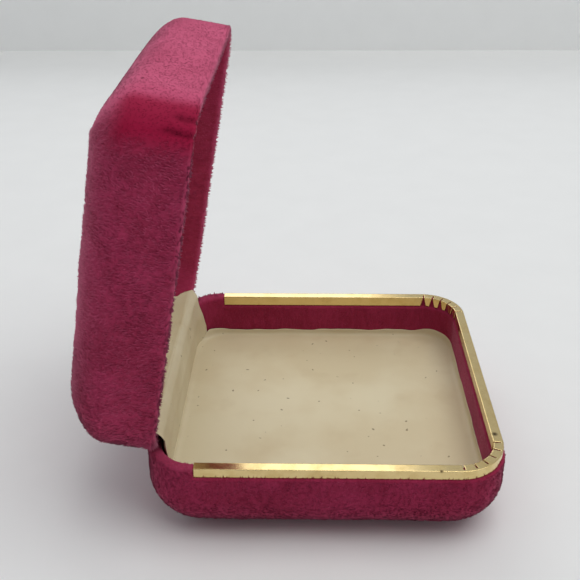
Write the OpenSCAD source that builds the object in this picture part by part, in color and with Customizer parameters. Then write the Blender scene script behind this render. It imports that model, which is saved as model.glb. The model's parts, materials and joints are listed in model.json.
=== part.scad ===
// Velvet-covered presentation case: a shallow hinged box with a gilt rim
// channel, cream linings and a snap hinge behind a cream sheet.
// +X runs from the hinge to the front, +Y along the hinge, +Z up.
// The origin is the centre of the underside. The lid stands open.

/* [Case] */
// Size from the back to the front, over the velvet
case_l = 77; // [60:1:120]
// Size along the hinge, over the velvet
case_w = 77; // [66:1:140]
// Height of the base, up to the top of the gilt rim
base_h = 19.8; // [17:0.1:30]
// Height of the lid above its own rim
lid_h = 19.8; // [18:0.1:32]
// Radius of the four upright corners
corner_r = 10.9; // [10.5:0.1:16]
// Radius where the walls turn into the underside
base_edge_r = 10.2; // [8:0.1:10.4]
// Radius where the lid's walls turn into its top
lid_edge_r = 10.2; // [7:0.1:10.4]
// How far the lid stands open, from closed
open_angle = 79.5; // [20:0.5:79.5]

/* [Walls] */
// Thickness of the pressed steel shells
shell_t = 0.6; // [0.4:0.1:0.8]
// Thickness of the velvet on the outside
pile_out = 1.3; // [1:0.1:1.6]
// Thickness of the velvet turned down on the inside
pile_in = 1; // [0.8:0.1:1.2]
// Depth of the velvet turned down inside the base
base_turn_in = 10.4; // [6:0.1:12]
// Depth of the velvet turned down inside the lid
lid_turn_in = 9.6; // [6:0.1:12]

/* [Gilt rim] */
// Thickness of the gilt strip
trim_t = 0.25; // [0.2:0.05:0.4]
// How far the strip's outer face lies inside the velvet's face
trim_inset = 0.5; // [0.3:0.1:0.6]
// Height of the outer flange
trim_out_h = 2.2; // [1.5:0.1:4]
// Height of the inner flange
trim_in_h = 2.6; // [1.5:0.1:4]
// Distance from the back of the case to the strip's ends
trim_start = 10.9; // [10.9:0.1:20]
// Number of cuts that let the strip bend at a corner
cuts = 6; // [3:1:8]
// Width of a cut at the flange's lower edge
cut_w = 1.5; // [0.8:0.1:1.6]
// Width of a cut across the top
slit_w = 0.35; // [0.2:0.05:0.5]
// How far a cut reaches across the top, as a share of its width
slit_reach = 0.75; // [0.5:0.05:0.8]

/* [Linings] */
// Height of the tray lining's surface above the underside
tray_z = 8; // [6.5:0.1:10]
// Height of the lid lining's surface above the lid's rim
lid_lining_z = 12; // [11:0.1:13]
// Thickness of a lining sheet
lining_t = 0.4; // [0.3:0.1:0.8]
// Thickness of the wadding under a lining
wadding_t = 1; // [0.6:0.1:1.6]
// Thickness of a card board
board_t = 1.2; // [0.8:0.1:1.6]
// How far the lining's edge is turned up against the wall
upturn = 1.9; // [1:0.1:2.4]

/* [Hinge] */
// How far the hinge stops short of the rounded corners
hinge_short = 0.1; // [0:0.1:6]
// Radius of the hinge pin
pin_r = 0.6; // [0.4:0.05:0.7]
// Gap all round the pin in a knuckle
pin_fit = 0.05; // [0.02:0.01:0.08]
// Outside radius of a knuckle
knuckle_r = 1.2; // [1.1:0.05:1.3]
// Thickness of the hinge sheet
leaf_t = 0.3; // [0.2:0.05:0.4]
// Knuckles on the base; the lid has one fewer
knuckles = 4; // [2:1:6]
// Half the angle that the snap spring spans
spring_half = 50; // [48:1:54]
// Distance from the pin's axis to the snap spring's edges
spring_reach = 1.75; // [1.65:0.05:1.85]
// Distance from the pin's axis to the rivets
rivet_w = 6.2; // [4:0.1:8]
// Thickness of the cream sheet that covers the hinge
cover_t = 0.35; // [0.2:0.05:0.5]

/* [Hidden] */
$fn = 64;

velvet = "mediumvioletred";
gilt = "gold";
cream = "wheat";
steel = "silver";
card = "burlywood";
wool = "white";

glue = 0.04;           // gap between layers that are glued together
slack = 0.1;           // gap between pieces that are only laid in
rim_gap = 0.1;         // gap between the two rims when closed
rim_pinch = 0.5;       // thickness of the velvet under the gilt strip
cut_margin = 4;        // angle from a corner's ends to the first and last cut
bead_r = 1.2;          // rounding of the velvet over a rim
rim_room = 0.1;        // gap between a shell's rim and what is folded over it
far = 200;             // longer than anything here

// Distances in from the velvet's outer face.
shell_in = pile_out + shell_t;
wall_in = shell_in + pile_in;

// The hinge axis, in from the back face and up, on the centre of the lid's
// rounded rim, so that the rim turns in its own place.
pin_in = bead_r;
pin_z = base_h + rim_gap + bead_r;
back_x = -case_l / 2;
hinge_len = case_w - 2 * (corner_r + hinge_short);
pin_x = back_x + pin_in;

// Each hinge leaf stands inside the wall and runs down behind the lining.
leaf_gap = 0.15;       // gap between a leaf and the velvet inside the wall
leaf_in = leaf_t + max(pin_in + spring_reach + slack, wall_in + leaf_gap);
leaf_edge_w = 0.35;    // from the axis to the leaf's edge, along the wall
leaf_tuck = 1.4;       // how far a leaf runs on behind the lining's surface
base_leaf_w = pin_z - tray_z + leaf_tuck;
lid_leaf_w = lid_lining_z - bead_r + leaf_tuck;
cover_in = leaf_in + glue + cover_t;
cover_tuck = 0.9;      // how far the cover runs on behind the lining's surface

notch_w = 1.95;        // from the axis to the cut-down back walls
notch_side = 0.6;      // gap beside the hinge in the back walls
knuckle_gap = 0.15;    // gap between one knuckle and the next
knuckle_len = hinge_len / (2 * knuckles - 1);
strap_w = rivet_w + 1.5;  // from the axis to a strap's lower edge, along the wall
strap_x = back_x + pile_out - leaf_t - glue;
spring_t = 0.25;
spring_mid = 1.5;      // from the axis to the middle of the spring's face
rivet_r = 0.6;
rivet_head_r = 1.1;
rivets = 3;
rivet_pitch = hinge_len / rivets;

// ---------- outlines and sweeps ----------

// Sweeps a profile round the whole rim. The profile's x is the distance out
// from the corner's centre, so the outer face lies at x = corner_r.
module ring() {
    for (i = [0 : 3]) {
        a = i % 2 == 0 ? case_l : case_w;
        b = i % 2 == 0 ? case_w : case_l;
        rotate(90 * i) translate([a / 2 - corner_r, b / 2 - corner_r, 0]) {
            rotate_extrude(angle = 90) children();
            rotate([90, 0, 0]) linear_extrude(b - 2 * corner_r) children();
        }
    }
}

// Sweeps a profile round the sides and the front, leaving out the back.
module front_ring(start) {
    x0 = back_x + start;
    cx = case_l / 2 - corner_r;
    cy = case_w / 2 - corner_r;
    translate([cx, cy, 0]) rotate([90, 0, 0]) linear_extrude(2 * cy) children();
    for (s = [1, -1]) {
        translate([cx, s * cy, 0]) rotate(s > 0 ? 0 : -90) rotate_extrude(angle = 90) children();
        translate([s > 0 ? x0 : cx, s * cy, 0]) rotate(90 * s) rotate([90, 0, 0])
            linear_extrude(cx - x0) children();
    }
}

// The case's section inside a given distance from its outer face, with the
// floor at z = inset and a rounded lower edge, up to height h.
module section(inset, edge_r, h) {
    r = max(edge_r - inset, 0.2);
    w = corner_r - inset;
    intersection() {
        union() {
            translate([0, inset + r]) square([w, far]);
            translate([0, inset]) square([w - r, r + 1]);
            translate([w - r, inset + r]) circle(r);
        }
        square([w, h]);
    }
}

// A flat block that fills the middle of the case, inside the swept walls.
module middle(z0, z1) {
    translate([-case_l / 2 + corner_r, -case_w / 2 + corner_r, z0])
        cube([case_l - 2 * corner_r, case_w - 2 * corner_r, z1 - z0]);
}

// A rounded plate, set in from the case's outer faces and from the back.
module plate(inset, back_inset, z0, z1, trim_r = 0) {
    r = corner_r - inset - trim_r;
    x0 = back_x + back_inset;
    x1 = case_l / 2 - inset;
    y1 = case_w / 2 - inset;
    translate([0, 0, z0]) linear_extrude(z1 - z0) union() {
        translate([x0 + r, -y1]) square([x1 - x0 - 2 * r, 2 * y1]);
        translate([x0, -y1 + r]) square([x1 - x0, 2 * (y1 - r)]);
        for (x = [x0 + r, x1 - r], y = [-y1 + r, y1 - r]) translate([x, y]) circle(r);
    }
}

// The room that the hinge takes in the back wall, in closed position.
module hinge_notch() {
    translate([back_x - 1, -hinge_len / 2 - notch_side, pin_z - notch_w])
        cube([wall_in + 2, hinge_len + 2 * notch_side, 2 * notch_w]);
}

// Turns what is drawn closed into the open lid.
module opened(share = 1) {
    translate([pin_x, 0, pin_z]) rotate([0, -open_angle * share, 0])
        translate([-pin_x, 0, -pin_z]) children();
}

// Draws a base-like piece upside down, as part of the closed lid: height 0
// becomes the lid's top and height lid_h becomes its rim.
module as_lid() {
    translate([0, 0, base_h + rim_gap + lid_h]) mirror([0, 0, 1]) children();
}

// Mirrors a piece of the base's hinge to the lid, about the pin.
module across_pin() {
    translate([0, 0, 2 * pin_z]) mirror([0, 0, 1]) children();
}

// ---------- shells and velvet ----------

module shell(h, edge_r) {
    ring() difference() {
        section(pile_out, edge_r, h - rim_pinch - trim_t - rim_room);
        section(shell_in, edge_r, far);
    }
    middle(pile_out, shell_in);
}

// Cuts the rivets' holes through a back wall, countersunk in the leaf.
module rivet_holes() {
    for (i = [0 : rivets - 1])
        translate([back_x - 1, (i - (rivets - 1) / 2) * rivet_pitch, pin_z - rivet_w])
            rotate([0, 90, 0]) {
                cylinder(r = rivet_r + glue, h = 1 + leaf_in);
                translate([0, 0, 1 + leaf_in - leaf_t])
                    cylinder(r1 = rivet_r + glue, r2 = rivet_head_r + glue, h = leaf_t + glue);
            }
}

module base_shell() {
    color(steel) difference() {
        shell(base_h, base_edge_r);
        hinge_notch();
        rivet_holes();
    }
}

module lid_shell() {
    color(steel) opened() difference() {
        as_lid() shell(lid_h, lid_edge_r);
        hinge_notch();
        across_pin() rivet_holes();
    }
}

// Velvet outside, over the rim and down the inside of the wall.
module velvet_section(h, edge_r, turn_in) {
    face = corner_r;
    difference() {
        section(0, edge_r, h - bead_r);
        section(pile_out - glue, edge_r, far);
    }
    difference() {
        union() {
            translate([face - wall_in, h - turn_in]) square([wall_in, turn_in - bead_r]);
            translate([face - wall_in + bead_r, h - turn_in]) square([wall_in - 2 * bead_r, turn_in]);
            for (x = [face - bead_r, face - wall_in + bead_r]) translate([x, h - bead_r]) circle(bead_r);
        }
        translate([face - shell_in - glue, -1])
            square([shell_t + 2 * glue, 1 + h - rim_pinch - trim_t - rim_room + glue]);
    }
}

module velvet_cover(h, edge_r, turn_in) {
    ring() velvet_section(h, edge_r, turn_in);
    middle(0, pile_out - glue);
}

// Where a hinge strap lies between the velvet and the shell.
module strap_bed() {
    translate([strap_x - glue, -hinge_len / 2 - slack, pin_z - strap_w - slack])
        cube([leaf_t + 3 * glue, hinge_len + 2 * slack, strap_w + slack]);
}

module base_velvet_cover() {
    color(velvet) difference() {
        velvet_cover(base_h, base_edge_r, base_turn_in);
        hinge_notch();
        strap_bed();
        rivet_holes();
        front_ring(trim_start - glue) trim_seat();
    }
}

module lid_velvet_cover() {
    color(velvet) opened() difference() {
        as_lid() velvet_cover(lid_h, lid_edge_r, lid_turn_in);
        hinge_notch();
        across_pin() strap_bed();
        across_pin() rivet_holes();
    }
}

// ---------- gilt rim channel ----------

trim_face = corner_r - trim_inset;
trim_w = shell_in + rim_pinch - trim_inset + trim_t;

module trim_section(t) {
    translate([trim_face - trim_w, base_h - t]) square([trim_w, t]);
    translate([trim_face - t, base_h - trim_out_h]) square([t, trim_out_h]);
    translate([trim_face - trim_w, base_h - trim_in_h]) square([t, trim_in_h]);
}

// The space that the channel presses out of the velvet.
module trim_seat() {
    t = trim_t + glue;
    translate([trim_face - trim_w - 1, base_h - t]) square([trim_w + 3, t + 1]);
    translate([trim_face - t, base_h - trim_out_h - glue]) square([t + 2, trim_out_h + 1]);
    translate([trim_face - trim_w - 2, base_h - trim_in_h - glue]) square([t + 2, trim_in_h + 1]);
}

// One cut: a wedge through the inner flange and a slit across the top.
module corner_cut() {
    x0 = trim_face - trim_w - 1;
    wedge_low = base_h - trim_in_h - 0.1;
    wedge_high = base_h - trim_t / 2;
    rotate([90, 0, 90]) translate([0, 0, x0]) linear_extrude(1 + trim_t + 0.1)
        polygon([[-cut_w / 2, wedge_low], [cut_w / 2, wedge_low],
                 [slit_w * 0.4, wedge_high], [-slit_w * 0.4, wedge_high]]);
    translate([x0, -slit_w / 2, base_h - trim_t - 0.15]) cube([1 + slit_reach * trim_w, slit_w, trim_t + 0.3]);
}

module gilt_rim_channel() {
    color(gilt) difference() {
        front_ring(trim_start) trim_section(trim_t);
        for (s = [1, -1], i = [0 : cuts - 1])
            translate([case_l / 2 - corner_r, s * (case_w / 2 - corner_r), 0])
                rotate(s * (cut_margin + i * (90 - 2 * cut_margin) / (cuts - 1))) corner_cut();
    }
}

// ---------- linings ----------

lining_back = cover_in + slack;   // the linings stop at the hinge cover
lining_side = wall_in + slack;
leg_in = corner_r + 0.6;          // the boards' folded legs stand on the flat floor
wadding_trim = 0.4;               // how much smaller the wadding's corners are cut

// A card board with its edge folded down into legs that stand on the shell.
module board(surface, edge_r) {
    top = surface - lining_t - wadding_t;
    side = board_side(edge_r, top);
    difference() {
        union() {
            plate(side, max(side, lining_back), top - board_t, top);
            leg_block(leg_in, shell_in + glue, top - board_t);
        }
        leg_block(leg_in + board_t, 0, top - board_t);
    }
}

// Room between a board's edge and the rounded shell at the board's underside.
function board_side(edge_r, top) =
    let (r = edge_r - shell_in, drop = max(edge_r - (top - board_t), 0))
    max(shell_in + r - sqrt(r * r - drop * drop), shell_in) + slack * 2;

module leg_block(inset, z0, z1) {
    translate([-case_l / 2 + inset, -case_w / 2 + inset, z0])
        cube([case_l - 2 * inset, case_w - 2 * inset, z1 - z0]);
}

module wadding(surface) {
    plate(lining_side + lining_t + glue, lining_back + lining_t + glue,
          surface - lining_t - wadding_t, surface - lining_t, wadding_trim);
}

// A lining sheet with its edge turned up against the walls and the hinge leaf.
module lining(surface) {
    difference() {
        plate(lining_side, lining_back, surface - lining_t, surface + upturn);
        plate(lining_side + lining_t, lining_back + lining_t, surface, surface + upturn + 1);
    }
}

// Heights inside the lid, drawn upside down, run down from its top.
lid_surface = lid_h - lid_lining_z;

module tray_board() {
    color(card) board(tray_z, base_edge_r);
}
module tray_wadding() {
    color(wool) wadding(tray_z);
}
module tray_lining() {
    color(cream) lining(tray_z);
}
module lid_board() {
    color(card) opened() as_lid() board(lid_surface, lid_edge_r);
}
module lid_wadding() {
    color(wool) opened() as_lid() wadding(lid_surface);
}
module lid_lining() {
    color(cream) opened() as_lid() lining(lid_surface);
}

// ---------- hinge ----------

// A flat sheet inside the back wall, from distance w0 to w1 off the axis.
module wall_sheet(face_in, t, w0, w1) {
    translate([back_x + face_in - t, -hinge_len / 2, pin_z - w1])
        cube([t, hinge_len, w1 - w0]);
}

module leaf(w) {
    difference() {
        wall_sheet(leaf_in, leaf_t, leaf_edge_w, w);
        rivet_holes();
    }
}

// Rivets with flat countersunk heads, from the strap through to the leaf.
module rivet_row() {
    for (i = [0 : rivets - 1])
        translate([strap_x, (i - (rivets - 1) / 2) * rivet_pitch, pin_z - rivet_w])
            rotate([0, 90, 0]) {
                len = back_x + leaf_in - strap_x;
                cylinder(r = rivet_r, h = len - leaf_t);
                translate([0, 0, len - leaf_t]) cylinder(r1 = rivet_r, r2 = rivet_head_r, h = leaf_t);
            }
}

// A strap: knuckles round the pin, on a strip between the velvet and the shell.
module strap(first, count) {
    difference() {
        union() {
            translate([strap_x, -hinge_len / 2, pin_z - strap_w])
                cube([leaf_t, hinge_len, strap_w - notch_w]);
            for (i = [0 : count - 1]) {
                y0 = -hinge_len / 2 + (first + 2 * i) * knuckle_len + knuckle_gap / 2;
                translate([pin_x, y0, pin_z]) rotate([-90, 0, 0])
                    cylinder(r = knuckle_r, h = knuckle_len - knuckle_gap);
                translate([strap_x, y0, pin_z - notch_w - slack])
                    cube([leaf_t, knuckle_len - knuckle_gap, notch_w]);
            }
        }
        translate([pin_x, -far / 2, pin_z]) rotate([-90, 0, 0]) cylinder(r = pin_r + pin_fit, h = far);
        rivet_holes();
    }
}

module base_hinge_strap() {
    color(steel) strap(0, knuckles);
}
module lid_hinge_strap() {
    color(steel) opened() across_pin() strap(1, knuckles - 1);
}
module base_hinge_leaf() {
    color(steel) leaf(base_leaf_w);
}
module lid_hinge_leaf() {
    color(steel) opened() across_pin() leaf(lid_leaf_w);
}
module base_hinge_rivets() {
    color(steel) rivet_row();
}
module lid_hinge_rivets() {
    color(steel) opened() across_pin() rivet_row();
}

module hinge_pin() {
    color(steel) translate([pin_x, -hinge_len / 2, pin_z]) rotate([-90, 0, 0])
        cylinder(r = pin_r, h = hinge_len);
}

// The bowed spring turns half as far as the lid, so that it stays square to
// both leaves and bridges the gap that opens between them.
module snap_spring() {
    tip = spring_reach * [cos(spring_half), sin(spring_half)];
    rise = spring_mid - tip[0];
    bow_r = (tip[1] * tip[1] + rise * rise) / (2 * rise);
    color(steel) opened(0.5) translate([pin_x, hinge_len / 2 - slack, pin_z]) rotate([90, 0, 0])
        linear_extrude(hinge_len - 2 * slack) intersection() {
            translate([0, -tip[1]]) square([far, 2 * tip[1]]);
            difference() {
                translate([spring_mid - bow_r, 0]) circle(bow_r);
                translate([spring_mid - bow_r, 0]) circle(bow_r - spring_t);
            }
        }
}

// The cream sheet: a flap over each leaf and a bend round the hinge.
module hinge_cover() {
    color(cream) {
        wall_sheet(cover_in, cover_t, 0, pin_z - tray_z + cover_tuck);
        opened() across_pin() wall_sheet(cover_in, cover_t, 0, lid_lining_z - bead_r + cover_tuck);
        translate([pin_x, hinge_len / 2, pin_z]) rotate([90, 0, 0]) rotate_extrude(angle = open_angle)
            translate([cover_in - cover_t - pin_in, 0]) square([cover_t, hinge_len]);
    }
}

base_shell();
base_velvet_cover();
gilt_rim_channel();
tray_board();
tray_wadding();
tray_lining();
base_hinge_strap();
base_hinge_leaf();
base_hinge_rivets();
hinge_pin();
snap_spring();
hinge_cover();
lid_hinge_strap();
lid_hinge_leaf();
lid_hinge_rivets();
lid_shell();
lid_velvet_cover();
lid_board();
lid_wadding();
lid_lining();
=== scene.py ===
"""Looks of a velvet-covered presentation case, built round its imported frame.

Shapes are worked out in millimetres, in the row frame: +X from the hinge to the
front, +Y along the hinge, +Z up. The lid's pieces are drawn shut and then opened.
"""
import json
import math
from collections import namedtuple

import bpy
import numpy as np
from mathutils import Matrix, Vector


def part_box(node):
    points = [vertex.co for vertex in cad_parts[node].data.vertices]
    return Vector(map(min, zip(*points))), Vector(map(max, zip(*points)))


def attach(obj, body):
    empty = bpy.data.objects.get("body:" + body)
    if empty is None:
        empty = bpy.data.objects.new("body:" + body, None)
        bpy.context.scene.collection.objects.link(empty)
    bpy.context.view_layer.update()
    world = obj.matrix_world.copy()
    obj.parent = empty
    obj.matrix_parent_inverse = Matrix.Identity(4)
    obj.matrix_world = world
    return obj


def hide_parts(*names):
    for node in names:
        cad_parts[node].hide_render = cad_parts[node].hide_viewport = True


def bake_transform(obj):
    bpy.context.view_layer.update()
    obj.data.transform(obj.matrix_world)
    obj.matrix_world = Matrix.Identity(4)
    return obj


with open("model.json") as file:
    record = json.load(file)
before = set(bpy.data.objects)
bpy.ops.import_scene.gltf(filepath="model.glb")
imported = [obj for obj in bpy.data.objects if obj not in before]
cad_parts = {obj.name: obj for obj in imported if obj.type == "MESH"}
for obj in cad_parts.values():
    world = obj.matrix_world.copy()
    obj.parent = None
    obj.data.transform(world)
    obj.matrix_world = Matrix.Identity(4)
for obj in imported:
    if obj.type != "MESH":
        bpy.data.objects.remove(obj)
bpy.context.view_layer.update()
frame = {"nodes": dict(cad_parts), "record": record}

MM = 0.001
HINGE = frame["record"]["behaviour"]["joints"][0]
PIN = np.array(HINGE["pos_m"]) / MM
OPEN = math.radians(HINGE["range_deg"][1])


# ---------- the frame's own sizes ----------

def box_mm(node):
    low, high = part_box(node)
    return np.array(low) / MM, np.array(high) / MM


def node_points(node):
    mesh = frame["nodes"][node].data
    return np.array([v.co for v in mesh.vertices]) / MM


def turned(points, angle):
    """Turns points about the hinge pin; a positive angle shuts the lid."""
    d = points - PIN
    c, s = math.cos(angle), math.sin(angle)
    return np.stack([PIN[0] + d[..., 0] * c + d[..., 2] * s, PIN[1] + d[..., 1],
                     PIN[2] - d[..., 0] * s + d[..., 2] * c], axis=-1)


def shut(points):
    return turned(points, OPEN)


def opened(points):
    return turned(points, -OPEN)


BASE_LOW, BASE_HIGH = box_mm("base_velvet_cover")
HALF_L = (BASE_HIGH[0] - BASE_LOW[0]) / 2
HALF_W = (BASE_HIGH[1] - BASE_LOW[1]) / 2
BASE_H = BASE_HIGH[2]
TRIM_LOW, TRIM_HIGH = box_mm("gilt_rim_channel")
TRAY_LOW, TRAY_HIGH = box_mm("tray_lining")
SHUT_LID = shut(node_points("lid_velvet_cover"))
LID_TOP = SHUT_LID[:, 2].max()
LID_H = LID_TOP - SHUT_LID[:, 2].min()
SHUT_LID_LINING = shut(node_points("lid_lining"))
HINGE_HALF = box_mm("hinge_cover")[1][1]

CORNER_R = 10.9        # upright corners, over the velvet
WALL_IN = 2.9          # from the velvet's outer face to its inner face
SHELL_IN = 1.9         # from the velvet's outer face to the shell's inner face
PILE_OUT = 1.3
BEAD_R = 1.2           # rounding of the velvet from a rim into the case
RIM_R = 0.75           # rounding of the velvet from a rim to the outside
NOTCH_W = 1.95         # from the pin to the cut-down back walls
TURN_IN = {"base": 10.4, "lid": 9.6}
CORNER_CUT = 0.4       # how far the shoulders are drawn in at the corners


# ---------- noise and meshes ----------

LATTICE = np.random.default_rng(11).uniform(-1, 1, (64, 64, 64))


def smooth_noise(points, size, shift=0.0):
    """Noise between -1 and 1 whose lumps are about size millimetres wide."""
    q = points / size + shift
    cell = np.floor(q).astype(int)
    f = q - cell
    f = f * f * (3 - 2 * f)
    total = np.zeros(points.shape[:-1])
    for corner in np.ndindex(2, 2, 2):
        weight = np.ones_like(total)
        for axis in range(3):
            weight *= f[..., axis] if corner[axis] else 1 - f[..., axis]
        index = [(cell[..., axis] + corner[axis]) % 64 for axis in range(3)]
        total += weight * LATTICE[index[0], index[1], index[2]]
    return total


def smoothstep(low, high, value):
    t = np.clip((value - low) / (high - low), 0, 1)
    return t * t * (3 - 2 * t)


def resample(path, count):
    """count points evenly spaced along a path of points."""
    path = np.array(path, float)
    steps = np.linalg.norm(np.diff(path, axis=0), axis=1)
    at = np.concatenate([[0], np.cumsum(steps)])
    want = np.linspace(0, at[-1], count)
    return np.stack([np.interp(want, at, path[:, k]) for k in range(path.shape[1])], axis=1)


def arc(cx, cy, r, start, end, count=9):
    angles = np.radians(np.linspace(start, end, count))
    return [(cx + r * math.cos(a), cy + r * math.sin(a)) for a in angles]


def grid_normals(grid):
    """Outward normals of a closed ring grid (rows along the profile, columns round the ring)."""
    along = np.roll(grid, -1, axis=1) - np.roll(grid, 1, axis=1)
    down = np.gradient(grid, axis=0)
    normal = np.cross(along, down)
    return normal / np.maximum(np.linalg.norm(normal, axis=-1, keepdims=True), 1e-9)


def mesh_object(name, points, faces, smooth=True):
    mesh = bpy.data.meshes.new(name)
    mesh.from_pydata((np.asarray(points) * MM).tolist(), [], faces)
    mesh.validate()
    if smooth:
        mesh.polygons.foreach_set("use_smooth", [True] * len(mesh.polygons))
    mesh.update()
    piece = bpy.data.objects.new(name, mesh)
    bpy.context.scene.collection.objects.link(piece)
    return piece


def closed_grid_faces(rows, cols, flip=False):
    """Faces of a grid closed round its columns, with a fan at each end."""
    faces = []
    for i in range(rows - 1):
        for j in range(cols):
            k = (j + 1) % cols
            faces.append((i * cols + j, i * cols + k, (i + 1) * cols + k, (i + 1) * cols + j))
    first, last = rows * cols, rows * cols + 1
    for j in range(cols):
        k = (j + 1) % cols
        faces.append((first, k, j))
        faces.append((last, (rows - 1) * cols + j, (rows - 1) * cols + k))
    return [f[::-1] for f in faces] if flip else faces


def add_attribute(piece, name, values):
    values = np.asarray(values, dtype=np.float32)
    kind = "FLOAT" if values.ndim == 1 else "FLOAT_VECTOR"
    field = "value" if values.ndim == 1 else "vector"
    layer = piece.data.attributes.new(name, kind, "POINT")
    layer.data.foreach_set(field, values.ravel())


def read_attribute(mesh, name, width=1):
    """An attribute's values, one for each vertex."""
    values = np.zeros(len(mesh.vertices) * width)
    mesh.attributes[name].data.foreach_get("value" if width == 1 else "vector", values)
    return values if width == 1 else values.reshape(-1, width)


def add_grid_attribute(piece, name, grid):
    """Adds a value for each point of a closed grid, and 0 for its two end points."""
    add_attribute(piece, name, np.concatenate([grid.ravel(), [0, 0]]))


def placed(points, body):
    """Puts points drawn from a flat face at height 0 upward where the body has them."""
    if body == "lid":
        points[:, 2] = LID_TOP - points[:, 2]
        points = opened(points)
    return points


# ---------- the case's outline ----------

# Points round the outline: their corners' centres, outward directions, length walked from the first
# point and distance from the nearest corner's middle.
Ring = namedtuple("Ring", "centres outward length from_corner")
CORNER_REACH = 9.0     # how far from a corner's middle its shaping reaches
SHARPEST = 0.6         # rounding that the rows nearest the middle keep


def outline(spacing):
    """Points round the rounded-rectangle outline."""
    cx, cy = HALF_L - CORNER_R, HALF_W - CORNER_R
    quarter = CORNER_R * math.pi / 2
    corner_steps = max(int(quarter / spacing), 6)
    centres, outward, length, from_corner = [], [], [], []
    walked = 0.0
    for turn in range(4):
        angle = turn * math.pi / 2
        half_run = (cy, cx)[turn % 2]
        half_off = (cx, cy)[turn % 2]
        n = np.array([math.cos(angle), math.sin(angle)])
        t = np.array([-n[1], n[0]])
        straight_steps = max(int(2 * half_run / spacing), 4)
        for k in range(straight_steps):
            along = -half_run + 2 * half_run * k / straight_steps
            centres.append(n * half_off + t * along)
            outward.append(n)
            length.append(walked + along + half_run)
            from_corner.append(half_run - abs(along) + quarter / 2)
        walked += 2 * half_run
        corner = n * half_off + t * half_run
        for k in range(corner_steps):
            a = angle + math.pi / 2 * k / corner_steps
            centres.append(corner)
            outward.append(np.array([math.cos(a), math.sin(a)]))
            length.append(walked + quarter * k / corner_steps)
            from_corner.append(abs(k / corner_steps - 0.5) * quarter)
        walked += quarter
    return Ring(*[np.array(values) for values in (centres, outward, length, from_corner)])


def near_corner(ring):
    """1 at the middle of each corner, falling to nothing along the walls."""
    return np.exp(-(ring.from_corner / CORNER_REACH) ** 2)[None]


def swept(insets, heights, ring, corner_cut):
    """Sweeps (inset, height) rows round the outline; corner_cut draws each row in at the corners."""
    insets = np.broadcast_to(insets, (insets.shape[0], len(ring.centres)))
    heights = np.broadcast_to(heights, insets.shape)
    limit = CORNER_R - SHARPEST
    across = np.clip(insets / limit, 0, 1)
    cut = corner_cut * 4 * across * (1 - across) * near_corner(ring)
    near = np.minimum(insets, limit) + cut
    xy = ring.centres[None] + (CORNER_R - near)[..., None] * ring.outward[None]
    shrink_x = (HALF_L - np.maximum(insets, limit)) / (HALF_L - limit)
    shrink_y = (HALF_W - np.maximum(insets, limit)) / (HALF_W - limit)
    return np.stack([xy[..., 0] * shrink_x, xy[..., 1] * shrink_y, heights], axis=-1)


# ---------- velvet ----------

FACE_ROWS, SHOULDER_ROWS, WALL_ROWS, RIM_ROWS, INNER_ROWS = 26, 42, 20, 28, 15
BACK_ROWS = 14         # rows of the hidden back behind the wall, the shoulder and the flat face
MIDDLE_R = 0.3         # the fan that closes the middle of a face
BACK_IN = 0.6          # from the velvet's outer face to its hidden back
RIM_DROP = 2.6         # from the rim down to where its rolled edge starts
RIM_MIDDLE = 1.5       # inset that parts a rim's outer half from its inner half
GILT_THICK = 0.33
INNER_PILE = 0.8       # the pile on the rims and the inner walls, against 1 outside
BASE_SLEEK = 0.55      # how smooth the base's nap lies
LID_NOISE = 50         # shift that gives the lid other tufts than the base
TUFT_LENGTH = (0.55, 1.05)
TUFT_WIDTH = (0.13, 0.25)


def velvet_rows(height, shoulder, turn_in, rim_path):
    """Rows of (inset, height, pile, rim) from the middle of the outside, over the rim and down the inside,
    to the hidden back."""
    wide, tall = shoulder
    middle = HALF_L - MIDDLE_R
    bottom = height - turn_in
    rows = [(inset, 0, 1, 0) for inset in np.linspace(middle, wide, FACE_ROWS, endpoint=False)]
    for angle in np.linspace(0, math.pi / 2, SHOULDER_ROWS, endpoint=False):
        rows.append((wide * (1 - math.sin(angle)), tall * (1 - math.cos(angle)), 1, 0))
    rows += [(0, z, 1, 0) for z in np.linspace(tall, rim_path[0][1], WALL_ROWS, endpoint=False)]
    rows += [(inset, z, INNER_PILE, 1) for inset, z in resample(rim_path, RIM_ROWS)]
    for z in np.linspace(rim_path[-1][1], bottom, INNER_ROWS)[1:]:
        rows.append((WALL_IN, z, INNER_PILE, 0))
    back = [(WALL_IN - 0.3, bottom - 0.1), (SHELL_IN + 0.05, bottom), (SHELL_IN + 0.05, height - 1.2),
            (PILE_OUT - 0.05, height - 1.2), (BACK_IN, height - RIM_DROP), (BACK_IN, tall)]
    for angle in np.linspace(math.pi / 2, 0, BACK_ROWS - 2)[1:]:
        back.append((wide - (wide - BACK_IN) * math.sin(angle), tall - (tall - BACK_IN) * math.cos(angle)))
    back.append((middle, BACK_IN))
    return np.array(rows + [(inset, z, 0, 0) for inset, z in back])


def plain_rim(height):
    """Section of the velvet rolled over a free rim."""
    path = [(0, height - RIM_DROP)] + arc(RIM_R, height - RIM_R, RIM_R, 180, 90)
    return path + arc(WALL_IN - BEAD_R, height - BEAD_R, BEAD_R, 90, 0) + [(WALL_IN, height - 3)]


def pinched_rim(height):
    """Section of the velvet pressed down inside the gilt channel."""
    under = TRIM_HIGH[2] - GILT_THICK
    low = height - RIM_DROP
    return [(0, low), (0.25, low + 0.2), (0.8, low + 0.45), (0.8, under), (2.3, under),
            (2.3, height - 2.65), (2.6, height - 2.85), (WALL_IN, height - 3)]


DEEPEST = 0.4          # the deepest dip of the velvet
CREASE_DEPTH = 0.45
CREASES = ((48.0, 5.5), (33.0, 8.0))       # degrees round the lid's corner, and how far each runs in


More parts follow.
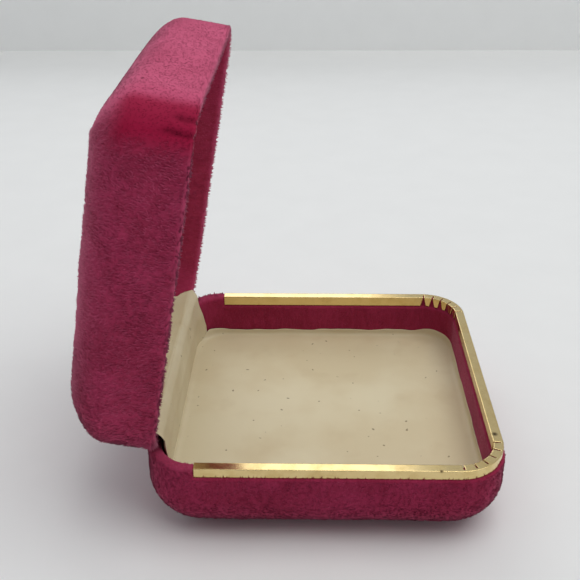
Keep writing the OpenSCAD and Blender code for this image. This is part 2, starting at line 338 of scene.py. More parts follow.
def worn_patch(xy, run):
    """How far the pile is pressed flat on the lid's near front corner, from 0 to 1; run is the way down
    the section from the middle of the flat face."""
    corner = np.array([HALF_L - 3.2, -HALF_W + 3.2])
    reach = np.linalg.norm((xy - corner) / (9.0, 4.5), axis=-1)
    return smoothstep(1.15, 0.45, reach) * smoothstep(36, 41, run)


def corner_creases(outward, depth):
    """Two short wrinkles that run in from the lid's rim, round the near front corner."""
    round_corner = np.degrees(np.arctan2(outward[:, 0], -outward[:, 1]))[None]
    crease = 0
    for angle, reach in CREASES:
        off = np.radians(round_corner - angle) * CORNER_R + 0.15 * np.sin(depth)
        crease = crease + np.exp(-(off / 0.55) ** 2) * smoothstep(reach, reach * 0.4, depth)
    return crease


def velvet_relief(where, sleek, in_rim):
    """How far the velvet stands out: small tufts over broad swells."""
    tuft = 0.05 * smooth_noise(where, 1.15) + 0.04 * smooth_noise(where, 2.1, 5.3)
    drift = 0.09 * smooth_noise(where, 7.0, 2.7) + 0.08 * smooth_noise(where, 14.0, 9.1)
    return tuft * (1 - 0.6 * sleek) + drift * (1 - 0.6 * in_rim)


def velvet_piece(name, body, height, shoulder, spacing):
    """One velvet cover as a closed, tufted skin. height runs from the flat face to the rim."""
    is_lid = body == "lid"
    ring = outline(spacing)
    section = velvet_rows(height, shoulder, TURN_IN[body], plain_rim(height))
    insets, heights, pile_row, rim_row = np.split(section, 4, axis=1)
    steps = np.linalg.norm(np.diff(section[:, :2], axis=0), axis=1)
    run = np.concatenate([[0], np.cumsum(steps)])[:, None]
    gilt = np.zeros((1, len(ring.centres)))
    if not is_lid:
        pinched = velvet_rows(height, shoulder, TURN_IN[body], pinched_rim(height))
        x = ring.centres[:, 0] + ring.outward[:, 0] * CORNER_R
        gilt = smoothstep(TRIM_LOW[0] - 0.5, TRIM_LOW[0] + 0.1, x)[None, :]
        insets = insets * (1 - gilt) + pinched[:, :1] * gilt
        heights = heights * (1 - gilt) + pinched[:, 1:2] * gilt
    outside = np.cumsum(rim_row, axis=0) == 0
    behind = np.arange(len(section))[:, None] >= len(section) - BACK_ROWS
    grid = swept(insets, heights, ring, CORNER_CUT * (outside | behind))
    rows, cols = grid.shape[:2]
    in_rim = rim_row * np.ones_like(gilt)

    # The hinge stands in a shallow gap cut into the back wall.
    limit = {"base": PIN[2] - NOTCH_W, "lid": LID_TOP - PIN[2] - NOTCH_W}[body]
    at_hinge = (grid[..., 0] < -HALF_L + WALL_IN + 1) & (np.abs(grid[..., 1]) < HINGE_HALF + 0.6)
    lowered = np.minimum(grid[..., 2], limit - 0.3 * (pile_row == 0))
    grid[..., 2] = np.where(at_hinge, lowered, grid[..., 2])

    # How the nap lies: which way it runs, and where it is brushed, sleek or creased, with the masks for
    # painted light on the lid's front and painted shade in the creases.
    nap = np.zeros((rows, cols, 3))
    nap[..., 0] = ring.length[None] * np.minimum((HALF_L - insets) / (HALF_L - CORNER_R), 1)
    nap[..., 1] = run
    over = outside | (rim_row > 0) & (insets < RIM_MIDDLE)
    front = smoothstep(0.45, 0.95, ring.outward[:, 0])[None] * smoothstep(21, 26, nap[..., 1])
    # Painted light: the lid's front wall and shoulder, which face the overhead light, are painted much
    # paler, and the rest of the lid's outside a little paler; the same values lay that nap flat.
    brushed_and_lit = np.maximum(front, 0.1) * over * is_lid
    sleek = brushed_and_lit if is_lid else np.full(brushed_and_lit.shape, BASE_SLEEK)
    pile = pile_row * (1 - 0.95 * in_rim * gilt)
    # The creases are real grooves, and their colour is also darkened with painted shade.
    crease = np.zeros((rows, cols))
    if is_lid:
        crease = pile * corner_creases(ring.outward, height - grid[..., 2])

    # The velvet stays off the steel shell, and its flat face on the table.
    shift = LID_NOISE if is_lid else 0
    where = grid + [0, 0, shift]
    normals = grid_normals(grid)
    lift = pile * velvet_relief(where, sleek, in_rim)
    lift = lift * (1 - crease) - CREASE_DEPTH * crease
    shallow = near_corner(ring) * smoothstep(height - 8.5, height - 10, heights)
    grid = grid + normals * np.maximum(lift, -DEEPEST * (1 - 0.9 * shallow))[..., None]
    if not is_lid:
        grid[..., 2] = np.maximum(grid[..., 2], 0.0)

    ends = [[0, 0, grid[0, :, 2].mean()], [0, 0, grid[-1, :, 2].mean()]]
    points = placed(np.concatenate([grid.reshape(-1, 3), ends]), body)
    if is_lid:
        normals = opened(normals * [1, 1, -1] + PIN) - PIN
    piece = mesh_object(name, points, closed_grid_faces(rows, cols, flip=is_lid))
    add_attribute(piece, "cloth", np.concatenate([normals.reshape(-1, 3), np.ones((2, 3))]))
    add_attribute(piece, "nap", np.concatenate([nap.reshape(-1, 3), np.zeros((2, 3))]))
    # The rim values mark the top of a free rim, where the tufts stand up and a lighter band of painted
    # sheen goes.
    at_top = smoothstep(height - 0.9, height - 0.2, where[..., 2] - shift)
    held = in_rim * gilt * (heights > TRIM_LOW[2] - 0.1)
    covered = ~over & ((grid[..., 0] < -HALF_L + 8) | (heights < height - TURN_IN[body] + 1.4))
    grows = (pile_row > 0) * (1 - held) * np.where(over, 1.0, 0.55) * ~covered
    pressed = worn_patch(where[..., :2], nap[..., 1]) * (grows > 0) * is_lid
    for label, values in (("rim", rim_row * at_top * (1 - gilt)), ("grows", grows), ("brushed_and_lit", brushed_and_lit),
                          ("sleek", sleek), ("crease", crease), ("pressed", pressed)):
        add_grid_attribute(piece, label, values)
    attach(piece, body)
    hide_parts(body + "_velvet_cover")
    return piece


def pile_piece(name, skin, body, count, seed):
    """The pile: short leaning tufts with their roots in the velvet's skin."""
    mesh = skin.data
    rng = np.random.default_rng(seed)
    first, second = np.array([p.vertices[:2] for p in mesh.polygons]).T
    area, middle = np.zeros(len(first)), np.zeros(len(first) * 3)
    mesh.polygons.foreach_get("area", area)
    mesh.polygons.foreach_get("center", middle)
    place = np.zeros(len(mesh.vertices) * 3)
    mesh.vertices.foreach_get("co", place)
    place = place.reshape(-1, 3) / MM
    chance = area * read_attribute(mesh, "grows")[first]
    picked = rng.choice(len(first), count, p=chance / chance.sum())
    at, size = first[picked], np.sqrt(area[picked])[:, None] / MM
    grows, rim, pressed, sleek = [read_attribute(mesh, label)[at][:, None]
                                  for label in ("grows", "rim", "pressed", "sleek")]
    flat = np.maximum(pressed, sleek)

    # Each tuft's root, and the directions along, across and out of the cloth there.
    n = read_attribute(mesh, "cloth", 3)[at]
    edge = place[second[picked]] - place[at]
    edge /= np.maximum(np.linalg.norm(edge, axis=1, keepdims=True), 1e-6)
    across = np.cross(n, edge)
    along_by, across_by = rng.uniform(-0.6, 0.6, (count, 1)), rng.uniform(-0.6, 0.6, (count, 1))
    root = middle.reshape(-1, 3)[picked] / MM + (edge * along_by + across * across_by) * size

    # Tufts near each other lean the same way; flat ones lie down and are shorter.
    swirl = np.stack([smooth_noise(root, 6.0, 6.1), smooth_noise(root, 3.0, 2.9)], axis=1)
    swirl = swirl * [0.7, 1.0] * (1 - 0.6 * flat) + rng.normal(0, 0.25, (count, 2))
    lean = across * np.cos(swirl[:, :1] * 1.4) + edge * np.sin(swirl[:, :1] * 1.4)
    stand = 0.5 + 0.35 * swirl[:, 1:] * (1 - 0.7 * flat) - 0.22 * flat + 0.5 * rim
    aim = lean + n * np.clip(stand, 0.15, 1.2)
    aim /= np.linalg.norm(aim, axis=1, keepdims=True)
    side = np.cross(n, lean)
    length = rng.uniform(*TUFT_LENGTH, (count, 1)) * grows * (1 - 0.6 * flat)
    width = rng.uniform(*TUFT_WIDTH, (count, 1)) * (1 - 0.45 * flat)
    blade = [root + side * width, root - side * width, root - n * 0.3, root + aim * length]
    points = np.stack(blade, axis=1).reshape(-1, 3)
    if body == "base":
        points[:, 2] = np.maximum(points[:, 2], 0.0)
    faces = []
    for a in range(0, 4 * count, 4):
        faces += [(a, a + 1, a + 3), (a + 1, a + 2, a + 3), (a + 2, a, a + 3), (a, a + 2, a + 1)]
    piece = mesh_object(name, points, faces)
    add_attribute(piece, "nap", np.repeat(read_attribute(mesh, "nap", 3)[at], 4, axis=0))
    for label in ("rim", "brushed_and_lit", "pressed", "sleek", "crease"):
        add_attribute(piece, label, np.repeat(read_attribute(mesh, label)[at], 4))
    # Painted sheen: the tip values are 1 at each tuft's tip, which the velvet paints lighter.
    add_attribute(piece, "tip", np.tile([0.0, 0.0, 0.0, 1.0], count))
    add_attribute(piece, "shade", np.repeat(rng.uniform(-1, 1, count), 4))
    # The blades are lit as the cloth under them is, as fine fibres are.
    soft = n + 0.2 * aim
    soft /= np.linalg.norm(soft, axis=1, keepdims=True)
    piece.data.normals_split_custom_set_from_vertices(np.repeat(soft, 4, axis=0).tolist())
    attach(piece, body)
    return piece


# ---------- materials ----------

class Shader:
    """A short way to write a node material."""

    def __init__(self, name):
        self.material = bpy.data.materials.new(name)
        self.material.use_nodes = True
        self.tree = self.material.node_tree
        self.shader = self.tree.nodes["Principled BSDF"]

    def node(self, kind, inputs=(), **settings):
        made = self.tree.nodes.new(kind)
        for key, value in settings.items():
            setattr(made, key, value)
        for key, value in dict(inputs).items():
            self.feed(made.inputs[key], value)
        return made

    def feed(self, socket, value):
        if isinstance(value, bpy.types.NodeSocket):
            self.tree.links.new(value, socket)
        else:
            socket.default_value = value

    def set(self, **values):
        for key, value in values.items():
            self.feed(self.shader.inputs[key.replace("_", " ")], value)
        return self

    def place(self):
        return self.node("ShaderNodeTexCoord").outputs["Object"]

    def scaled(self, vector, scale):
        return self.node("ShaderNodeMapping", {"Vector": vector, "Scale": scale}).outputs[0]

    def noise(self, vector, scale, detail=2.0, roughness=0.5, distortion=0.0):
        return self.node("ShaderNodeTexNoise", {"Vector": vector, "Scale": scale, "Detail": detail,
                                               "Roughness": roughness, "Distortion": distortion}).outputs[0]

    def ramp(self, value, low, high, out_low=0.0, out_high=1.0):
        return self.node("ShaderNodeMapRange", {"Value": value, "From Min": low, "From Max": high,
                                               "To Min": out_low, "To Max": out_high},
                         interpolation_type="SMOOTHSTEP").outputs[0]

    def math(self, operation, a, b):
        return self.node("ShaderNodeMath", {0: a, 1: b}, operation=operation).outputs[0]

    def mix(self, factor, a, b):
        made = self.node("ShaderNodeMix", data_type="RGBA")
        self.feed(made.inputs["Factor"], factor)
        self.feed(made.inputs[6], a)
        self.feed(made.inputs[7], b)
        return made.outputs[2]

    def near(self, point, radius):
        """1 at a point of the row frame, in millimetres, falling to 0 at radius."""
        reach = self.node("ShaderNodeVectorMath", {0: self.place(), 1: [c * MM for c in point]},
                          operation="DISTANCE").outputs["Value"]
        return self.ramp(reach, radius * MM, 0.0)

    def bump(self, height, distance_mm, strength=1.0, over=None):
        made = self.node("ShaderNodeBump", {"Height": height, "Distance": distance_mm * MM,
                                            "Strength": strength})
        if over:
            self.feed(made.inputs["Normal"], over)
        self.feed(self.shader.inputs["Normal"], made.outputs[0])


def rgb(red, green, blue):
    """A colour from 0 to 255 as the eye sees it, turned into scene light."""
    linear = [c / 255 / 12.92 if c < 10.3 else ((c / 255 + 0.055) / 1.055) ** 2.4
              for c in (red, green, blue)]
    return (*linear, 1.0)


def velvet_material():
    m = Shader("velvet")
    place = m.place()
    nap = m.node("ShaderNodeAttribute", attribute_name="nap").outputs["Vector"]
    names = ("rim", "tip", "shade", "brushed_and_lit", "pressed", "sleek", "crease")
    rim, tip, shade, brushed_and_lit, pressed, sleek, crease = [
        m.node("ShaderNodeAttribute", attribute_name=name).outputs["Fac"] for name in names]
    streak = m.noise(m.scaled(nap, (1.1, 0.28, 1)), 1.0, 3, 0.6, 0.4)
    fibre = m.noise(m.scaled(nap, (4.5, 1.8, 1)), 1.0, 2, 0.6, 0.8)
    patch = m.noise(place, 95, 2, 0.5)
    blend = m.math("ADD", m.math("MULTIPLY", streak, 0.5), m.math("MULTIPLY", patch, 0.5))
    colour = m.mix(m.ramp(blend, 0.38, 0.62), rgb(134, 22, 54), rgb(158, 38, 76))
    colour = m.mix(m.ramp(fibre, 0.5, 0.75, 0, 0.3), colour, rgb(206, 84, 122))
    colour = m.mix(m.ramp(shade, -1.0, 1.0, 0, 0.28), colour, rgb(214, 98, 134))
    # Painted sheen: each tuft is painted lighter toward its tip, as sheen catches the tips.
    colour = m.mix(m.math("MULTIPLY", tip, 0.25), colour, rgb(214, 98, 134))
    # Painted sheen: a lighter band along the top of each free rim.
    colour = m.mix(m.math("MULTIPLY", rim, 0.15), colour, rgb(214, 110, 146))
    # Painted light: the lid's front wall and shoulder are painted paler where overhead light and sheen fall
    # on them.
    painted_light = m.math("MULTIPLY", brushed_and_lit, m.ramp(patch, 0.2, 0.7, 0.6, 0.95))
    colour = m.mix(painted_light, colour, rgb(198, 86, 120))
    colour = m.mix(m.math("MULTIPLY", pressed, 0.8), colour, rgb(148, 8, 50))
    # Painted shade: the creases' grooves are painted dark, as shade falls in them.
    colour = m.mix(m.math("MULTIPLY", crease, 0.75), colour, rgb(84, 6, 28))
    # The base's velvet is painted darker than the lid's.
    colour = m.mix(m.math("MULTIPLY", m.math("SUBTRACT", sleek, brushed_and_lit), 0.5), colour, rgb(104, 10, 38))
    m.set(Base_Color=colour, Roughness=0.95, Sheen_Weight=0.25, Sheen_Roughness=0.4,
          Sheen_Tint=(1.0, 0.52, 0.68, 1.0), Specular_IOR_Level=0.05)
    smooth = m.math("MAXIMUM", sleek, pressed)
    m.bump(m.math("ADD", fibre, m.math("MULTIPLY", streak, 0.5)), 0.15, m.ramp(smooth, 0, 1, 0.5, 0.06))
    return m.material


def gilt_material():
    m = Shader("gilt")
    place = m.place()
    wear = m.noise(place, 260, 3, 0.6)
    spots = m.ramp(m.noise(place, 900, 2, 0.5), 0.74, 0.80)
    stain = m.near((TRIM_HIGH[0] - 1.4, TRIM_LOW[1] + 12.6, BASE_H), 1.0)
    nick = m.near((TRIM_HIGH[0] - 14.5, TRIM_LOW[1] + 0.1, BASE_H), 0.6)
    dark = m.math("MAXIMUM", m.math("MULTIPLY", spots, 0.6), m.math("MAXIMUM", stain, nick))
    colour = m.mix(m.ramp(wear, 0.4, 0.7), rgb(232, 208, 150), rgb(220, 194, 134))
    colour = m.mix(dark, colour, rgb(70, 52, 28))
    m.set(Base_Color=colour, Metallic=1.0, Roughness=m.ramp(wear, 0.3, 0.7, 0.12, 0.2))
    rounded = m.node("ShaderNodeBevel", {"Radius": 0.32 * MM}, samples=6).outputs[0]
    m.bump(m.noise(place, 180, 2, 0.5), 0.05, 0.3, rounded)
    return m.material


def leatherette_material():
    m = Shader("cream_leatherette")
    place = m.place()
    cloud = m.noise(place, 45, 3, 0.55)
    grain = m.noise(place, 1500, 2, 0.6)
    speck = m.ramp(m.noise(place, 620, 1, 0.5), 0.735, 0.78)
    blotch = m.ramp(m.noise(place, 110, 2, 0.6), 0.55, 0.75, 0, 0.35)
    colour = m.mix(m.ramp(cloud, 0.35, 0.65), rgb(213, 202, 170), rgb(206, 192, 158))
    colour = m.mix(m.math("MULTIPLY", blotch, 0.5), colour, rgb(184, 163, 124))
    colour = m.mix(m.math("MULTIPLY", speck, 0.75), colour, rgb(96, 78, 48))
    m.set(Base_Color=colour, Roughness=m.ramp(cloud, 0.3, 0.7, 0.42, 0.55), Specular_IOR_Level=0.35)
    m.bump(m.math("ADD", grain, m.math("MULTIPLY", m.noise(place, 260, 3, 0.6), 1.5)), 0.05, 0.5)
    return m.material


def steel_material(name, shade, roughness):
    m = Shader(name)
    place = m.place()
    rub = m.noise(m.scaled(place, (400, 2500, 400)), 1.0, 3, 0.6)
    colour = m.mix(rub, rgb(shade, shade, shade - 3), rgb(shade - 40, shade - 42, shade - 48))
    m.set(Base_Color=colour, Metallic=1.0, Roughness=m.ramp(rub, 0.3, 0.7, roughness, roughness + 0.15))
    m.bump(rub, 0.02, 0.4)
    return m.material


def card_material():
    m = Shader("pasteboard")
    place = m.place()
    fibre = m.noise(m.scaled(place, (900, 300, 900)), 1.0, 4, 0.65)
    fleck = m.ramp(m.noise(place, 1400, 1, 0.5), 0.66, 0.72)
    colour = m.mix(fibre, rgb(176, 150, 116), rgb(140, 116, 86))
    m.set(Base_Color=m.mix(fleck, colour, rgb(96, 78, 58)), Roughness=0.9)
    m.bump(fibre, 0.06, 0.6)
    return m.material


def wadding_material():
    m = Shader("cotton_wadding")
    place = m.place()
    fluff = m.noise(place, 700, 5, 0.7, 1.5)
    colour = m.mix(fluff, rgb(236, 232, 222), rgb(205, 198, 184))
    m.set(Base_Color=colour, Roughness=1.0, Sheen_Weight=0.3)
    m.bump(fluff, 0.3, 0.8)
    return m.material


def floor_material(name, shade):
    m = Shader(name)
    grain = m.noise(m.place(), 60, 3, 0.5)
    colour = m.mix(grain, rgb(shade, shade + 1, shade), rgb(shade - 5, shade - 4, shade - 5))
    m.set(Base_Color=colour, Roughness=0.75)
    return m.material


# ---------- linings, wadding and hinge cover ----------

PLATE_MIDDLE = 33.5    # the innermost row of a lining, in from its edge
COVER_REACH = 2.32     # from the pin to the hinge cover's outer face
COVER_THICK = 0.12
NEAR_END_WIDER = 0.5


def plate_outline(x_back, inset, radius, spacing):
    """Points of a rounded plate's edge inside the case, with its outward directions."""
    x0, x1, y1 = x_back, HALF_L - inset, HALF_W - inset
    corners = [((x1 - radius, y1 - radius), 0), ((x0 + radius, y1 - radius), 90),
               ((x0 + radius, -y1 + radius), 180), ((x1 - radius, -y1 + radius), 270)]
    path, outward = [], []
    count = max(int(radius * math.pi / 2 / spacing), 6)
    for (cx, cy), start in corners:
        for a in np.radians(np.linspace(start, start + 90, count)):
            path.append((cx + radius * math.cos(a), cy + radius * math.sin(a)))
            outward.append((math.cos(a), math.sin(a)))
    path, outward = np.array(path + path[:1]), np.array(outward + outward[:1])
    steps = np.linalg.norm(np.diff(path, axis=0), axis=1)
    total = steps.sum()
    both = resample(np.concatenate([path, outward], axis=1), int(total / spacing) + 1)[:-1]
    out = both[:, 2:]
    return both[:, :2], out / np.linalg.norm(out, axis=1, keepdims=True)


def soft_plate(x_back, inset, radius, rows, spacing=0.9):
    """A soft plate's grid from rows of (inset from its edge, height, waviness), and the rows' waviness."""
    edge, outward = plate_outline(x_back, inset, radius, spacing)
    centre = np.array([(x_back + HALF_L - inset) / 2, 0.0])
    half = np.array([HALF_L - inset - centre[0], HALF_W - inset])
    rounded = radius * 0.8             # as far in as the corners keep their rounding
    start = edge - outward * radius * 0.8
    grid = []
    for row_inset, height, _ in rows:
        xy = edge - outward * row_inset
        if row_inset >= rounded:
            scale = (half - row_inset) / (half - rounded)
            xy = centre + (start - centre) * scale
        z = np.full(len(xy), float(height))
        grid.append(np.concatenate([xy, z[:, None]], axis=1))
    return np.array(grid), np.array([row[2] for row in rows])[:, None]


def plate_object(name, grid, body, node):
    """Makes the closed piece of a soft plate's grid, where its body has it."""
    rows, cols = grid.shape[:2]
    ends = [grid[0].mean(axis=0), grid[-1].mean(axis=0)]
    points = placed(np.concatenate([grid.reshape(-1, 3), ends]), body)
    piece = mesh_object(name, points, closed_grid_faces(rows, cols, flip=body == "base"))
    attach(piece, body)
    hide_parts(node)
    return piece


def lining_rows(surface, thick, upturn):
    """Profile of a lining: crowned field, a soft cove, the turned-up edge and its back."""
    rows = []
    for inset in np.concatenate([np.linspace(PLATE_MIDDLE, 4, 30), np.linspace(3.6, 1.6, 5)]):
        crown = 0.25 * (1 - math.exp(-inset / 6.0))
        rows.append((inset, surface + crown - 0.1, 0.25))
    rows += [(1.0, surface + 0.05, 0.4), (0.6, surface + 0.3, 0.7), (0.38, surface + 0.8, 0.9)]
    rows += [(0.3, surface + upturn * 0.75, 1.0), (0.24, surface + upturn - 0.1, 1.0)]
    rows += [(0.12, surface + upturn, 1.0), (0.0, surface + upturn - 0.12, 1.0)]
    rows += [(0.0, surface + 0.5, 0.4), (0.0, surface - thick + 0.1, 0.0), (0.3, surface - thick, 0.0)]
    rows += [(inset, surface - thick, 0.0) for inset in (2.0, 8.0, 20.0, PLATE_MIDDLE)]
    return rows


def lining_piece(name, body, surface, edge_low, edge_high, node):
    """A leatherette lining with a wavy turned-up edge, over its wadding."""
    inset = HALF_W - edge_high[1] - 0.25
    upturn = edge_high[2] - surface
    rows = lining_rows(surface, 0.35, upturn)
    grid, waves = soft_plate(edge_low[0] - 0.4, inset, CORNER_R - inset, rows)
    where = grid.copy()
    where[..., 2] = 0 if body == "base" else 40
    corner = smoothstep(HALF_W - inset - 9, HALF_W - inset - 2, np.abs(grid[..., 1]))
    corner = corner * smoothstep(HALF_L - 14, HALF_L - 6, np.abs(grid[..., 0]))
    along = smooth_noise(where, 6.0, 1.7) * 0.55 + smooth_noise(where, 2.6, 8.2) * 0.2
    upright = np.clip((grid[..., 2] - surface) / max(upturn, 0.1), 0, 1)
    grid[..., 2] += upright * waves * (along * 0.7 - 0.35 + 0.9 * corner)

    # Beside the hinge the lining runs flat under the cream sheet.
    by_hinge = smoothstep(edge_low[0] + 2.5, edge_low[0] + 0.6, grid[..., 0])
    flattened = grid[..., 2] * (1 - by_hinge) + (surface + 0.1) * by_hinge
    grid[..., 2] = np.where(grid[..., 2] > surface + 0.1, flattened, grid[..., 2])
    lean = upright * waves * (1 - by_hinge) * (0.05 + 0.16 * smooth_noise(where, 4.5, 3.1))
    centre = grid[..., :2].mean(axis=(0, 1))
    inward = centre - grid[..., :2]
    inward /= np.maximum(np.linalg.norm(inward, axis=-1, keepdims=True), 1e-6)
    grid[..., :2] += inward * lean[..., None]
    field = (1 - upright) * (waves > 0)
    grid[..., 2] += field * (0.10 * smooth_noise(where, 16.0, 4.4) + 0.05 * smooth_noise(where, 6.5, 6.6))
    return plate_object(name, grid, body, node)


def wadding_piece(name, body, low, high, node):
    """The wadding under a lining: a thin crowned slab with a ragged edge."""
    inset = HALF_W - high[1]
    field = (2.0, 8.0, 20.0, 33.0)
    rows = [(row_inset, low[2] + 0.03, 0.1) for row_inset in field[::-1]]
    rows += [(0.5, low[2] + 0.05, 0.5), (0.1, low[2] + 0.3, 1.0), (0.25, high[2] - 0.25, 1.0)]
    rows += [(0.9, high[2] - 0.1, 0.6)] + [(row_inset, high[2] - 0.06, 0.1) for row_inset in field]
    grid, waves = soft_plate(low[0], inset, CORNER_R - inset, rows[::-1], 1.4)
    grid[..., 2] += waves * 0.12 * smooth_noise(grid, 3.0, 2.2)
    return plate_object(name, grid, body, node)


def cover_end(kind, value):
    """Half the sheet's width at one row: widest by the tray, drawn in over the bend and inside the lid."""
    if kind == "base":
        return np.interp(value, [-14, -9, -5.5, -2, 0], [33.3, 33.1, 32.2, 31.4, 31.1])
    if kind == "bend":
        return np.interp(value / OPEN, [0, 0.8, 1], [31.1, 31.7, 31.0])
    return np.interp(value, [0, 1, 2, 2.7, 5, 12], [31.0, 30.6, 29.7, 28.4, 28.2, 28.8])


def cover_row(kind, value, columns):
    """One row of the sheet's outer face, along the hinge; value is the height from the pin, or for the
    bend the angle round it."""
    near_end = NEAR_END_WIDER * (columns < 0) * (kind != "lid")
    y = columns * (cover_end(kind, value) + near_end)
    flat_to = HALF_W - CORNER_R        # where the back wall starts to round
    inner_r = CORNER_R - WALL_IN - 0.15
    past = np.maximum(np.abs(y) - flat_to, 0.0)
    curl = inner_r - np.sqrt(np.maximum(inner_r ** 2 - past ** 2, 0.01))
    walked = {"base": value, "bend": value * 2, "lid": 30 + value}[kind]
    line = np.stack([0 * y, y, 0 * y + walked], axis=-1)
    ripple = 0.16 * smooth_noise(line, 7.5, 3.3) + 0.06 * smooth_noise(line, 3.0, 1.1)
    if kind == "bend":
        ridge = 0.3 * math.exp(-((value - 1.25) / 0.35) ** 2)      # it catches the light
        off = COVER_REACH + ridge
        off = off + 0.85 * curl + ripple
        return np.stack([PIN[0] + off * math.cos(value), y, PIN[2] + off * math.sin(value)], axis=-1)
    distance = abs(value)
    off = COVER_REACH + curl * (0.85 + 0.15 * smoothstep(0, 4, distance))
    off = off + ripple * smoothstep(9, 6, distance)
    if kind == "base":
        off = off + 0.25 * math.exp(-((distance - 5.5) / 2.0) ** 2)      # a soft fold half-way down
        return np.stack([PIN[0] + off, y, PIN[2] + value + 0 * y], axis=-1)
    off = off + 0.3 * math.exp(-distance / 1.2)
    return opened(np.stack([PIN[0] + off, y, PIN[2] + value + 0 * y], axis=-1))


def hinge_cover_points():
    """The cream sheet round the hinge: its ends curl into the case's rounded corners."""
    low = box_mm("hinge_cover")[0]
    lid_run = shut(node_points("hinge_cover"))[:, 2].max() - PIN[2]
    columns = np.linspace(-1, 1, 170)
    rows = [("base", w) for w in np.linspace(low[2] - PIN[2], 0, 40)]
    rows += [("bend", a) for a in np.linspace(0, OPEN, 26)[1:-1]]
    rows += [("lid", w) for w in np.linspace(0, lid_run, 36)]
    front = np.array([cover_row(kind, value, columns) for kind, value in rows])
    across = np.gradient(front, axis=0)
    along = np.gradient(front, axis=1)
    normal = np.cross(along, across)
    normal /= np.linalg.norm(normal, axis=-1, keepdims=True)
    return np.concatenate([front, front - normal * COVER_THICK]), len(rows), len(columns)


def sheet_faces(rows, cols):
    """Faces of a thick sheet: a front grid, a back grid and the edge between them."""
    faces = []
    back = rows * cols
    for i in range(rows - 1):
        for j in range(cols - 1):
            a = i * cols + j
            faces.append((a, a + 1, a + cols + 1, a + cols))
            faces.append((back + a, back + a + cols, back + a + cols + 1, back + a + 1))
    for j in range(cols - 1):
        a, b = j, (rows - 1) * cols + j
        faces.append((a, back + a, back + a + 1, a + 1))
        faces.append((b, b + 1, back + b + 1, back + b))
    for i in range(rows - 1):
        a, b = i * cols, i * cols + cols - 1
        faces.append((a, a + cols, back + a + cols, back + a))
        faces.append((b, back + b, back + b + cols, b + cols))
    return faces


# ---------- the object ----------

velvet = velvet_material()
cream = leatherette_material()

base_velvet = velvet_piece("base_velvet", "base", BASE_H, shoulder=(13.0, 12.0), spacing=0.55)
lid_velvet = velvet_piece("lid_velvet", "lid", LID_H, shoulder=(16.0, 9.5), spacing=0.55)
base_pile = pile_piece("base_velvet_pile", base_velvet, "base", count=45000, seed=3)
lid_pile = pile_piece("lid_velvet_pile", lid_velvet, "lid", count=48000, seed=4)
for piece in (base_velvet, lid_velvet, base_pile, lid_pile):
    piece.data.materials.append(velvet)

tray = lining_piece("tray_pad", "base", TRAY_LOW[2] + 0.4, TRAY_LOW, TRAY_HIGH, "tray_lining")
tray.data.materials.append(cream)
lid_low, lid_high = SHUT_LID_LINING.min(axis=0), SHUT_LID_LINING.max(axis=0)
lid_pad = lining_piece("lid_pad", "lid", LID_TOP - lid_high[2] + 0.4,
                       np.array([lid_low[0], lid_low[1], 0]),
                       np.array([lid_high[0], lid_high[1], LID_TOP - lid_low[2]]), "lid_lining")
lid_pad.data.materials.append(cream)

fluff = wadding_material()
low, high = box_mm("tray_wadding")
tray_wadding = wadding_piece("tray_wadding_sheet", "base", low, high, "tray_wadding")
shut_wadding = shut(node_points("lid_wadding"))
low, high = shut_wadding.min(axis=0), shut_wadding.max(axis=0)
low[2], high[2] = LID_TOP - high[2], LID_TOP - low[2]
lid_wadding = wadding_piece("lid_wadding_sheet", "lid", low, high, "lid_wadding")
for piece in (tray_wadding, lid_wadding):
    piece.data.materials.append(fluff)

cover_points, cover_rows, cover_cols = hinge_cover_points()
cover = mesh_object("hinge_cover_sheet", cover_points.reshape(-1, 3), sheet_faces(cover_rows, cover_cols))
cover.data.materials.append(cream)
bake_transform(cover)
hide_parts("hinge_cover")

sheet_steel = steel_material("sheet_steel", 150, 0.35)
bright_steel = steel_material("bright_steel", 190, 0.22)
card = card_material()
LOOKS = {"gilt_rim_channel": gilt_material(), "base_shell": sheet_steel, "lid_shell": sheet_steel,
         "base_hinge_strap": sheet_steel, "lid_hinge_strap": sheet_steel, "base_hinge_leaf": sheet_steel,
         "lid_hinge_leaf": sheet_steel, "base_hinge_rivets": bright_steel, "lid_hinge_rivets": bright_steel,
         "hinge_pin": bright_steel, "snap_spring": bright_steel, "tray_board": card, "lid_board": card}
for name, material in LOOKS.items():
    mesh = frame["nodes"][name].data
    mesh.materials.clear()
    mesh.materials.append(material)


# ---------- floor, light and camera ----------

def strip(name, outline_points, half_width, material):
    """A wide bent sheet from points of (y, z)."""
    points = [(side * half_width, y, z) for y, z in outline_points for side in (-1, 1)]
    faces = [(2 * k, 2 * k + 1, 2 * k + 3, 2 * k + 2) for k in range(len(outline_points) - 1)]
    sheet = mesh_object(name, np.array(points, float), faces, smooth=False)
    sheet.data.materials.append(material)


WALL_Y, WALL_TOP, STAGE_HALF = 417, 90, 1500
strip("floor", [(-900, 0), (WALL_Y, 0)], STAGE_HALF, floor_material("pale_floor", 234))
strip("low_wall", [(WALL_Y, 0), (WALL_Y, WALL_TOP), (WALL_Y + 23, WALL_TOP + 2)], STAGE_HALF,
      floor_material("pale_wall", 245))


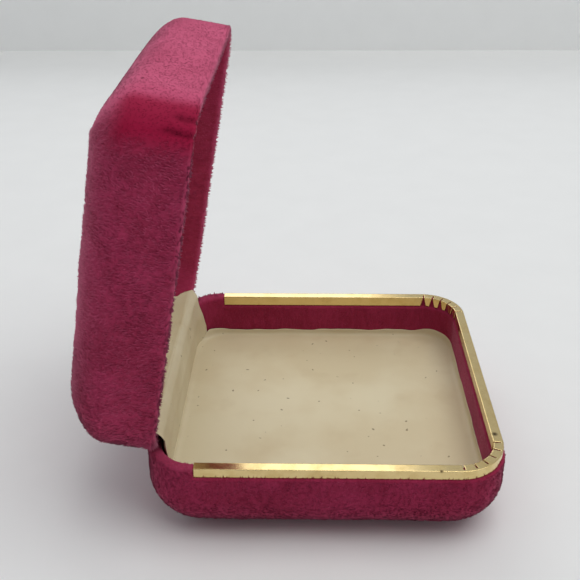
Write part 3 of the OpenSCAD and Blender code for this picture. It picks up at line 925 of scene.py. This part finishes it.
def soft_light(name, place, target, size, watts, tint=(1, 1, 1)):
    light = bpy.data.lights.new(name, "AREA")
    light.shape = "RECTANGLE"
    light.size, light.size_y = size
    light.energy = watts
    light.color = tint
    lamp = bpy.data.objects.new(name, light)
    lamp.location = place
    lamp.rotation_euler = (Vector(target) - Vector(place)).to_track_quat("-Z", "Y").to_euler()
    bpy.context.scene.collection.objects.link(lamp)


soft_light("ceiling", (0.28, -0.12, 1.0), (0, 0, 0.03), (1.0, 0.9), 6.4, (1, 0.99, 0.97))
soft_light("back_window", (-0.35, 1.1, 0.78), (0, 0, 0.03), (1.05, 0.8), 3.6, (1, 1, 1))


def studio_world():
    """An even pale room, dimmer above and behind the camera's side."""
    world = bpy.data.worlds.new("studio")
    world.use_nodes = True
    nodes, links = world.node_tree.nodes, world.node_tree.links
    toward = nodes.new("ShaderNodeVectorMath")
    toward.operation = "DOT_PRODUCT"
    toward.inputs[1].default_value = (0.0, -0.66, 0.75)
    links.new(nodes.new("ShaderNodeTexCoord").outputs["Generated"], toward.inputs[0])
    dim = nodes.new("ShaderNodeMapRange")
    dim.interpolation_type = "SMOOTHSTEP"
    for socket, value in (("From Min", 0.7), ("From Max", 0.97), ("To Min", 0.52), ("To Max", 0.06)):
        dim.inputs[socket].default_value = value
    links.new(toward.outputs["Value"], dim.inputs["Value"])
    links.new(dim.outputs[0], nodes["Background"].inputs["Strength"])
    nodes["Background"].inputs["Color"].default_value = (0.92, 0.95, 1.0, 1)
    return world


bpy.context.scene.world = studio_world()

CAMERA_AT = Vector((-0.003936, -0.178685, 0.137726))
PITCH, YAW, ROLL = 0.494376, -0.024152, -0.006515
lens = bpy.data.cameras.new("camera")
lens.sensor_width = 36
lens.lens = 54.31
camera = bpy.data.objects.new("camera", lens)
forward = Vector((math.sin(YAW) * math.cos(PITCH), math.cos(YAW) * math.cos(PITCH), -math.sin(PITCH)))
right = Vector((math.cos(YAW), -math.sin(YAW), 0))
upward = right.cross(forward)
tilted_right = right * math.cos(ROLL) + upward * math.sin(ROLL)
tilted_up = upward * math.cos(ROLL) - right * math.sin(ROLL)
turn = Matrix((tilted_right, tilted_up, -forward)).transposed()
camera.matrix_world = Matrix.Translation(CAMERA_AT) @ turn.to_4x4()
bpy.context.scene.collection.objects.link(camera)
bpy.context.scene.camera = camera
bpy.context.scene.view_settings.view_transform = "Standard"
